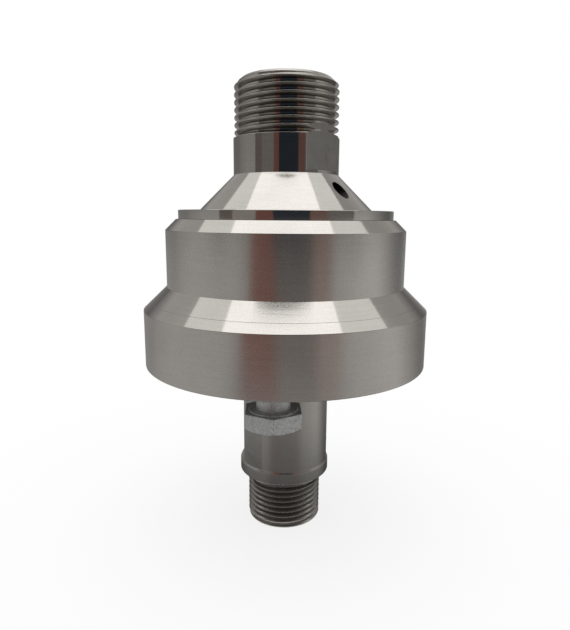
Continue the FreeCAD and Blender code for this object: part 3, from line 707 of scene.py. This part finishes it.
def make_shaft():
    """Shaft with its bore, bearing seats, collar, thread and flats."""
    crest_r = OUTLET_THREAD["crest_r"]
    root_r = crest_r - OUTLET_THREAD["depth"]
    seat_low = LOWER_FLOOR - SEAT_CHAMFER
    end_r = crest_r - OUTLET_CHAMFER
    shaft = lathe("turned_shaft", [
        (SOCKET_MOUTH_R, 0), (end_r, 0), (end_r, 0.5 * OUTLET_CHAMFER, 0),
        (root_r, OUTLET_CHAMFER + OUTLET_LEAD, 0), (root_r, OUTLET_THREAD_TOP, 0),
        (RELIEF_R, OUTLET_THREAD_TOP + THREAD_STEP, 0), (RELIEF_R, SHOULDER, SHOULDER_EDGE),
        (LAND_R - SHOULDER_CHAMFER, SHOULDER, SHOULDER_EDGE),
        (LAND_R, SHOULDER + SHOULDER_CHAMFER, LAND_LOW_EDGE), (LAND_R, LAND_TOP, LAND_TOP_EDGE),
        (SHAFT_R, LAND_TOP + LAND_FADE, LAND_TOP_EDGE),
        (SHAFT_R, seat_low - LOWER_SEAT_R + SHAFT_R),
        (LOWER_SEAT_R, seat_low), (LOWER_SEAT_R, COLLAR_LOW), (COLLAR_R, COLLAR_LOW),
        (COLLAR_R, COLLAR_TOP - COLLAR_BEVEL), (COLLAR_R - COLLAR_BEVEL, COLLAR_TOP),
        (UPPER_SEAT_R, COLLAR_TOP), (UPPER_SEAT_R, SHAFT_TOP - NOSE_CHAMFER),
        (UPPER_SEAT_R - NOSE_CHAMFER, SHAFT_TOP), (NOSE_POCKET_R, SHAFT_TOP),
        (NOSE_POCKET_R, TURNING_RING_LOW), (FLOW_R, TURNING_RING_LOW), (FLOW_R, SOCKET_DEPTH),
        (SOCKET_R, SOCKET_DEPTH), (SOCKET_R, SOCKET_CONE)])
    shaft.data.materials.append(TURNED_SHAFT)
    ridge = thread_ridge("outlet_thread_ridge", SHAFT_THREAD_PAINTED_SHADE, low=0, high=OUTLET_THREAD_TOP,
                         **OUTLET_THREAD)
    envelope = lathe("outlet_thread_envelope", [
        (root_r - OVERRUN / 2, THREAD_STEP, 0), (end_r, THREAD_STEP, 0),
        (crest_r + SPARE, OUTLET_CHAMFER + SPARE + THREAD_STEP, 0),
        (crest_r + SPARE, OUTLET_THREAD_TOP, 0), (root_r - OVERRUN / 2, OUTLET_THREAD_TOP, 0)])
    combine(ridge, envelope, "INTERSECT")
    combine(shaft, ridge, "UNION")
    cut_flats(shaft, reach_r=SHAFT_R + OVERRUN, finish=SHAFT_FLATS_PAINTED_LIGHT, **SHAFT_FLAT)
    smooth(shaft)
    settle(shaft, "rotor", "shaft")


def screw_centre():
    angle = math.radians(SCREW_AZIMUTH)
    return SCREW_R * math.sin(angle), -SCREW_R * math.cos(angle)


def make_screw():
    """Hexagon screw, head down: chamfered hexagon, washer face and shank."""
    corner_r = SCREW_AF / math.sqrt(3)
    flat_r = SCREW_AF / 2
    chamfer = (corner_r - flat_r) * math.tan(SCREW_CROWN_ANGLE)
    depth = SCREW_HEAD_TOP - SCREW_HEAD_LOW
    bpy.ops.object.select_all(action="DESELECT")
    bpy.ops.mesh.primitive_cylinder_add(
        vertices=6, radius=corner_r, depth=depth, location=(0, 0, SCREW_HEAD_LOW + depth / 2))
    screw = bpy.context.object
    screw.name = screw.data.name = "hexagon_stop_screw"
    screw.data.materials.append(ZINC)
    screw.rotation_euler = (0, 0, math.radians(SCREW_TURN))
    bpy.ops.object.transform_apply(location=True, rotation=True, scale=True)
    bpy.ops.object.modifier_add(type="BEVEL")
    bevel = screw.modifiers[-1]
    bevel.width = SCREW_EDGE
    bevel.segments = 2
    bevel.limit_method = "ANGLE"
    bevel.angle_limit = SCREW_EDGE_ANGLE
    bevel.use_clamp_overlap = True
    bpy.ops.object.modifier_apply(modifier=bevel.name)
    crown = lathe("crown", [
        (SCREW_CORE, SCREW_HEAD_LOW, 0), (flat_r, SCREW_HEAD_LOW, SCREW_CROWN_EDGE),
        (corner_r + SCREW_CORE, SCREW_HEAD_LOW + chamfer + SCREW_CORE, 0),
        (corner_r + SCREW_CORE, SCREW_HEAD_TOP + SCREW_CORE, 0),
        (SCREW_CORE, SCREW_HEAD_TOP + SCREW_CORE, 0)])
    combine(screw, crown, "INTERSECT")
    top = SCREW_HEAD_TOP + WASHER_FACE
    stem = lathe("stem", [
        (SCREW_CORE, SCREW_HEAD_TOP - OVERRUN, 0), (WASHER_FACE_R, SCREW_HEAD_TOP - OVERRUN, 0),
        (WASHER_FACE_R, top), (SCREW_SHANK_R, top, SCREW_SHANK_EDGE),
        (SCREW_SHANK_R, SCREW_HIGH[2], SCREW_TIP), (SCREW_CORE, SCREW_HIGH[2])])
    combine(screw, stem, "UNION")
    centre = screw_centre()
    screw.location = (centre[0], centre[1], 0)
    pick_only(screw)
    bpy.ops.object.transform_apply(location=True, rotation=True, scale=True)
    smooth(screw)
    settle(screw, "stator", "torque_stop_screw")


def dress_inner_nodes():
    """Give every node the finish of its slot, and give the spring a mesh of its own."""
    slots = {part["node"]: part["material_slot"] for part in frame["record"]["subparts"]}
    for name, node in frame["nodes"].items():
        node.data.materials.clear()
        node.data.materials.append(SLOT_FINISHES[slots[name]])
    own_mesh(frame["nodes"]["seal_spring"])


# Camera: place in metres, angles in degrees, focal length in millimetres and shift in pixels,
# fitted to the rings in the photo.
CAMERA_PLACE = (0, -0.1433, 0.0837)
CAMERA_PAN = -0.13
CAMERA_PITCH = -10.66
CAMERA_ROLL = 0.44
CAMERA_LENS = 30.73
CAMERA_CLIP_START = 0.01
PICTURE_LONG_SIDE = 630
PICTURE_SHIFT = (-1.4, 2.1)


def make_camera():
    data = bpy.data.cameras.new("camera")
    camera = bpy.data.objects.new("camera", data)
    bpy.context.collection.objects.link(camera)
    data.lens = CAMERA_LENS
    data.shift_x = PICTURE_SHIFT[0] / PICTURE_LONG_SIDE
    data.shift_y = PICTURE_SHIFT[1] / PICTURE_LONG_SIDE
    data.clip_start = CAMERA_CLIP_START
    camera.matrix_world = (
        Matrix.Translation(CAMERA_PLACE) @ Matrix.Rotation(math.radians(CAMERA_PAN), 4, "Z")
        @ Matrix.Rotation(math.radians(90 + CAMERA_PITCH), 4, "X")
        @ Matrix.Rotation(math.radians(CAMERA_ROLL), 4, "Z"))
    bpy.context.scene.camera = camera


def glow(name, colour):
    """Finish that shines with a radiance, plain or changing over the surface."""
    finish = Finish(name)
    emission = finish.node("ShaderNodeEmission")
    shade = colour(finish) if callable(colour) else (*colour, 1)
    finish.feed(emission.inputs["Color"], shade)
    output = finish.tree.nodes["Material Output"]
    finish.tree.links.new(emission.outputs[0], output.inputs["Surface"])
    return finish.material


def only_reflected(piece, name, colour):
    """Make a card of the studio that only reflections see."""
    piece.name = name
    piece.data.materials.append(glow(name, colour))
    piece.visible_camera = False
    piece.visible_diffuse = False
    piece.visible_shadow = False


def card(name, corners, colour):
    """Flat card between corners, given round it."""
    bpy.ops.object.select_all(action="DESELECT")
    bpy.ops.mesh.primitive_circle_add(vertices=len(corners), fill_type="NGON")
    plane = bpy.context.object
    for vertex, corner in zip(plane.data.vertices, corners):
        vertex.co = corner
    only_reflected(plane, name, colour)


# Studio: places in metres, and radiances of what the steel reflects. The softbox lights, and
# its face is what reflections see of it. Cards are given by their corners, and the lamp bar is
# the part of a disk in front of its back line.
CEILING_HEIGHT = 0.60
SOFTBOX = {"low": (-0.30, -0.19), "high": (0.225, 0.22), "radiance": 0.70}
SOFTBOX_FACE = [(-0.38, -0.19), (0.35, -0.19), (0.135, 0.22), (-0.20, 0.22)]
SOFTBOX_COLOUR = (1.79, 1.76, 1.72)
CEILING_PANEL = [(-0.90, -0.21), (0.84, -0.21), (0.60, 0.22), (0.41, 0.27), (0.285, 0.37),
                 (-0.46, 0.37)]
PANEL_HEIGHT = 0.62
PANEL_COLOUR = (1.09, 1.07, 1.04)
LAMP_BAR = {"centre": (-0.01, 0.224, 0.59), "radius": 0.33, "back": -0.065,
            "colour": (0.08, 0.078, 0.076)}
ROOM_R = 0.9
TABLE_R = (0.0125, 0.88)
TABLE_HEIGHT = 0.4 * MM
TABLE_RISE = 0.2 * MM

# Tones are shares of one grey. A turn is 0.5 straight in front and grows to the right, and its
# tone is multiplied by one of the table, by the distance from the axis, or by one of the room,
# by a height that is 0.5 at the table and 1 at the top. The lift is then added to the room's.
TURN_TONES = [(0.0, 0.45), (0.05, 0.32), (0.10, 0.36), (0.165, 0.42), (0.19, 0.52), (0.245, 0.63),
              (0.345, 0.62), (0.38, 0.60), (0.42, 0.42), (0.58, 0.44), (0.635, 0.64), (0.70, 0.74),
              (0.745, 0.78), (0.79, 0.54), (0.83, 0.32), (0.865, 0.24), (0.92, 0.38), (1.0, 0.45)]
# Near the axis the table is much darker: a painted shadow of the object, which only reflections
# see.
TABLE_TONES = [(0.0, 0.20), (0.035, 0.25), (0.07, 0.66), (0.11, 0.84), (0.17, 0.84), (0.24, 0.80),
               (0.5, 0.95), (1.0, 0.85)]
ROOM_TONES = [(0.50, 0.85), (0.547, 0.66), (0.60, 0.53), (0.64, 0.50), (0.73, 0.55)]
ROOM_LIFT = [(0.64, 0.0), (0.73, 0.28)]
GREY = (1.0, 0.975, 0.94)

# Cards close behind the camera, and the height over which their colours change.
FRONT_CARD_Y = -0.16
CARD_TOP = 0.30
CARD_STEP = 0.098
CARD_LOW = 0.074
HEIGHT_OF_TONES = 0.16

# Floor: pale, and a little darker near the object, where its shadow falls.
FLOOR_SIZE = 6
FLOOR_COLOUR = (0.80, 0.80, 0.79)
FLOOR_SHADOW_R = 0.07
FLOOR_SHADOW_FALL = 3.0
FLOOR_SHADOW_SHARE = 0.2


def ramp(finish, share, stops):
    """Colour that follows stops of tones or of colours."""
    stops = [(place, tone if isinstance(tone, tuple) else (tone,) * 3) for place, tone in stops]
    return finish.value("ShaderNodeValToRGB", {"stops": stops}, {"Fac": share})


def round_tone(finish, height_tones):
    """Grey of the room by its direction from the object, times a tone along another way."""
    place, x, y, z = finish.place()
    angle = finish.value("ShaderNodeMath", {"operation": "ARCTAN2"}, {0: x, 1: 0.0 - y})
    turn = angle / (2 * math.pi) + 0.5
    tones = ramp(finish, turn, TURN_TONES)
    return tones * height_tones(finish, (x * x + y * y) ** 0.5, z)


def grey(finish, tone):
    return finish.blend(tone, (0, 0, 0), GREY)


def table_colour(finish):
    return grey(finish, round_tone(finish, lambda finish, r, z: ramp(finish, r, TABLE_TONES)))


def room_colour(finish):
    height = finish.place()[3] / (2 * ROOM_R) + 0.5
    tone = round_tone(finish, lambda finish, r, z: ramp(finish, height, ROOM_TONES))
    return grey(finish, tone + ramp(finish, height, ROOM_LIFT))


def upward(*stops):
    """Colour that changes with the height over the table, with stops as heights in metres."""
    stops = [(height / HEIGHT_OF_TONES, colour) for height, colour in stops]
    return lambda finish: ramp(finish, finish.place()[3] / HEIGHT_OF_TONES, stops)


DARK_TONES = upward((0.0, (0.28, 0.25, 0.235)), (0.025, (0.235, 0.21, 0.20)),
                    (0.061, (0.155, 0.15, 0.142)), (0.085, (0.034, 0.039, 0.050)),
                    (0.100, (0.022, 0.028, 0.036)))
LEFT_WARM_TONES = upward((0.0, (0.25, 0.115, 0.10)), (0.065, (0.25, 0.12, 0.10)),
                         (0.085, (0.20, 0.095, 0.080)), (0.11, (0.17, 0.075, 0.062)))
RIGHT_WARM_TONES = upward((0.025, (0.42, 0.33, 0.305)), (0.062, (0.34, 0.26, 0.24)),
                          (0.084, (0.20, 0.13, 0.11)), (0.11, (0.15, 0.08, 0.068)))

# The front cards: name, left and right at the lower edge, the same at the upper edge, the
# heights of both edges, colour.
BELOW_STEP = (0.0, CARD_STEP)
AT_STEP = (CARD_LOW, CARD_STEP)
ABOVE_STEP = (CARD_STEP, CARD_TOP)
OUTER = (CARD_LOW, CARD_TOP)
FRONT_CARDS = [
    ("dark_lower_card", (-0.010, 0.064), (-0.036, 0.064), BELOW_STEP, DARK_TONES),
    ("dark_upper_card", (-0.043, 0.072), (-0.043, 0.072), ABOVE_STEP, DARK_TONES),
    ("left_warm_card", (-0.095, -0.010), (-0.082, -0.036), BELOW_STEP, LEFT_WARM_TONES),
    ("left_warm_strip", (-0.076, -0.043), (-0.076, -0.043), ABOVE_STEP, LEFT_WARM_TONES),
    ("right_warm_card", (0.064, 0.128), (0.064, 0.128), BELOW_STEP, RIGHT_WARM_TONES),
    ("right_warm_strip", (0.072, 0.128), (0.072, 0.128), ABOVE_STEP, RIGHT_WARM_TONES),
    ("left_inner_low_card", (-0.205, -0.086), (-0.205, -0.082), AT_STEP, (0.33, 0.30, 0.28)),
    ("left_inner_card", (-0.205, -0.076), (-0.205, -0.076), ABOVE_STEP, (0.19, 0.175, 0.165)),
    ("left_outer_card", (-0.40, -0.205), (-0.40, -0.205), OUTER, (0.15, 0.125, 0.118)),
    ("right_outer_card", (0.128, 0.45), (0.128, 0.45), OUTER, (0.18, 0.165, 0.155)),
]


def make_floor():
    """Floor that cameras and reflections see white, and that still takes the object's shadow."""
    bpy.ops.object.select_all(action="DESELECT")
    bpy.ops.mesh.primitive_plane_add(size=FLOOR_SIZE)
    floor = bpy.context.object
    floor.name = "pale_floor"
    finish = Finish("pale_floor")
    rays = finish.node("ShaderNodeLightPath")
    white = finish.node("ShaderNodeEmission", inputs={"Color": (1, 1, 1, 1), "Strength": 1.0})
    finish.set(Base_Color=(*FLOOR_COLOUR, 1), Roughness=0.9, Specular_IOR_Level=0.0)
    seen = (Value(finish, rays.outputs["Is Camera Ray"])
            + Value(finish, rays.outputs["Is Glossy Ray"])
            + Value(finish, rays.outputs["Is Transmission Ray"]))
    place, x, y, z = finish.place()
    far = (x * x + y * y) ** 0.5 / FLOOR_SHADOW_R
    near = 1.0 / (far ** FLOOR_SHADOW_FALL + 1.0)
    share = seen * (1.0 - near * FLOOR_SHADOW_SHARE)
    mixed = finish.node("ShaderNodeMixShader", inputs={"Fac": share})
    output = finish.tree.nodes["Material Output"]
    finish.tree.links.new(finish.shader.outputs[0], mixed.inputs[1])
    finish.tree.links.new(white.outputs[0], mixed.inputs[2])
    finish.tree.links.new(mixed.outputs[0], output.inputs["Surface"])
    floor.data.materials.append(finish.material)


def make_lights():
    """Softbox over the object, and a white world."""
    low, high = SOFTBOX["low"], SOFTBOX["high"]
    data = bpy.data.lights.new("softbox", "AREA")
    data.shape = "RECTANGLE"
    data.size = high[0] - low[0]
    data.size_y = high[1] - low[1]
    data.energy = SOFTBOX["radiance"] * math.pi * data.size * data.size_y
    softbox = bpy.data.objects.new("softbox", data)
    softbox.location = ((low[0] + high[0]) / 2, (low[1] + high[1]) / 2, CEILING_HEIGHT)
    softbox.visible_glossy = False
    bpy.context.collection.objects.link(softbox)
    world = bpy.context.scene.world or bpy.data.worlds.new("room")
    bpy.context.scene.world = world
    world.use_nodes = True
    background = world.node_tree.nodes["Background"]
    background.inputs["Color"].default_value = (1, 1, 1, 1)
    background.inputs["Strength"].default_value = 1.0


def make_room():
    """The studio that the steel mirrors: walls, table, ceiling, lamp and front cards."""
    bpy.ops.object.select_all(action="DESELECT")
    bpy.ops.mesh.primitive_uv_sphere_add(segments=64, ring_count=32, radius=ROOM_R)
    only_reflected(bpy.context.object, "room_walls", room_colour)
    bpy.ops.object.select_all(action="DESELECT")
    bpy.ops.mesh.primitive_cone_add(
        vertices=CARD_SEGMENTS, radius1=TABLE_R[0], radius2=TABLE_R[1], depth=TABLE_RISE,
        location=(0, 0, TABLE_HEIGHT), end_fill_type="NOTHING")
    bpy.ops.object.transform_apply(location=True, rotation=True, scale=True)
    only_reflected(bpy.context.object, "grey_table", table_colour)
    card("softbox_face", [(x, y, CEILING_HEIGHT) for x, y in SOFTBOX_FACE], SOFTBOX_COLOUR)
    card("ceiling_panel", [(x, y, PANEL_HEIGHT) for x, y in CEILING_PANEL], PANEL_COLOUR)
    for name, lower, upper, (bottom, top), colour in FRONT_CARDS:
        corners = [(lower[0], bottom), (lower[1], bottom), (upper[1], top), (upper[0], top)]
        card(name, [(x, FRONT_CARD_Y, z) for x, z in corners], colour)
    bpy.ops.object.select_all(action="DESELECT")
    bpy.ops.mesh.primitive_circle_add(
        vertices=CARD_SEGMENTS, radius=LAMP_BAR["radius"], fill_type="NGON",
        location=LAMP_BAR["centre"])
    bpy.ops.object.transform_apply(location=True, rotation=True, scale=True)
    bar = bpy.context.object
    bpy.ops.object.mode_set(mode="EDIT")
    bpy.ops.mesh.select_all(action="SELECT")
    bpy.ops.mesh.bisect(plane_co=(0, LAMP_BAR["back"], 0), plane_no=(0, 1, 0), clear_outer=True)
    bpy.ops.object.mode_set(mode="OBJECT")
    only_reflected(bar, "lamp_bar", LAMP_BAR["colour"])


make_camera()
dress_inner_nodes()
make_housing()
make_head()
make_shaft()
make_screw()
make_floor()
make_lights()
make_room()
bpy.context.scene.view_settings.view_transform = "Standard"
